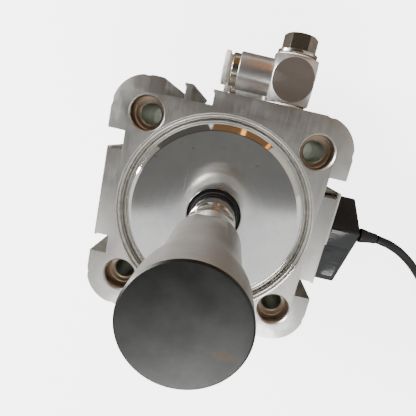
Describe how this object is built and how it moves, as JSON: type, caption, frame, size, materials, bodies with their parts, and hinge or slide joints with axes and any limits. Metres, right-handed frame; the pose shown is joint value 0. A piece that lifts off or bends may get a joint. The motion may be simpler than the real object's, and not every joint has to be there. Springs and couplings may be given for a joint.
{
  "type": "compact pneumatic cylinder",
  "caption": "Compact square-body pneumatic cylinder with an extended rod, swivel elbow fittings and a clamped proximity switch on a cable.",
  "frame": {"origin": "centre of the flat rear face, which is the face it stands on", "axes": "+Z along the piston rod towards the rod extension, +Y towards the air fittings, +X towards the proximity switch"},
  "size_m": [0.1877, 0.1036, 0.14],
  "materials": {
    "extruded_aluminium": "satin extruded and cut aluminium",
    "turned_aluminium": "polished turned face",
    "turned_steel": "satin turned steel",
    "chromed_rod": "polished hard chrome",
    "nickel_plate": "warm nickel plate",
    "spring_steel": "dark spring steel wire",
    "black_rubber": "matte rubber",
    "black_plastic": "satin moulded plastic",
    "white_plastic": "matte white plastic",
    "sintered_bronze": "oiled sintered bronze",
    "magnet_rubber": "bonded magnet",
    "cable_jacket": "matte cable jacket"
  },
  "bodies": {
    "housing": {"cylinder_body": "extruded_aluminium", "front_cover": "turned_aluminium", "rear_cover": "extruded_aluminium", "front_snap_ring": "spring_steel", "rear_snap_ring": "spring_steel", "front_cover_o_ring": "black_rubber", "rear_cover_o_ring": "black_rubber", "rod_bushing": "sintered_bronze", "rod_wiper_seal": "black_rubber", "front_bumper": "black_rubber", "rear_bumper": "black_rubber", "switch_housing": "black_plastic", "switch_bracket": "nickel_plate", "switch_screw": "turned_steel", "switch_window": "white_plastic", "cable_relief": "black_plastic", "switch_cable": "cable_jacket", "cable_coil": "cable_jacket", "cable_tail": "cable_jacket", "cable_tie": "white_plastic", "cable_plug": "black_plastic", "plug_contacts": "nickel_plate", "front_banjo_bolt": "nickel_plate", "front_lower_washer": "white_plastic", "front_upper_washer": "white_plastic", "rear_banjo_bolt": "nickel_plate", "rear_lower_washer": "white_plastic", "rear_upper_washer": "white_plastic"},
    "piston_seals": {"front_piston_seal": "black_rubber", "rear_piston_seal": "black_rubber", "piston_wear_ring": "white_plastic"},
    "rod": {"piston_front_half": "extruded_aluminium", "piston_rear_half": "extruded_aluminium", "piston_magnet": "magnet_rubber", "piston_screw": "turned_steel", "piston_rod": "chromed_rod", "rod_lock_nut": "nickel_plate", "rod_extension": "turned_steel"},
    "front_elbow": {"front_elbow_body": "extruded_aluminium", "front_collar": "nickel_plate", "front_grab_ring": "turned_steel", "front_tube_seal": "black_rubber"},
    "front_release": {"front_release_ring": "white_plastic"},
    "rear_elbow": {"rear_elbow_body": "extruded_aluminium", "rear_collar": "nickel_plate", "rear_grab_ring": "turned_steel", "rear_tube_seal": "black_rubber"},
    "rear_release": {"rear_release_ring": "white_plastic"}
  },
  "joints": [
    {"name": "rod_slide", "type": "slide", "parent": "housing", "child": "piston_seals", "axis": [0, 0, 1], "range_m": [-0.0075, 0.0025]},
    {"name": "rod_turn", "type": "hinge", "parent": "piston_seals", "child": "rod", "pos_m": [0, 0, 0], "axis": [0, 0, 1], "continuous": true},
    {"name": "front_elbow_swivel", "type": "hinge", "parent": "housing", "child": "front_elbow", "pos_m": [0.0155, 0.04, 0.046], "axis": [0, 1, 0], "range_deg": [-20, 90]},
    {"name": "front_release_slide", "type": "slide", "parent": "front_elbow", "child": "front_release", "axis": [1, 0, 0], "range_m": [0, 0.0008], "stiffness_N_per_m": 400},
    {"name": "rear_elbow_swivel", "type": "hinge", "parent": "housing", "child": "rear_elbow", "pos_m": [0.0155, 0.04, 0.014], "axis": [0, 1, 0], "range_deg": [-18, 20]},
    {"name": "rear_release_slide", "type": "slide", "parent": "rear_elbow", "child": "rear_release", "axis": [1, 0, 0], "range_m": [0, 0.0008], "stiffness_N_per_m": 400}
  ]
}
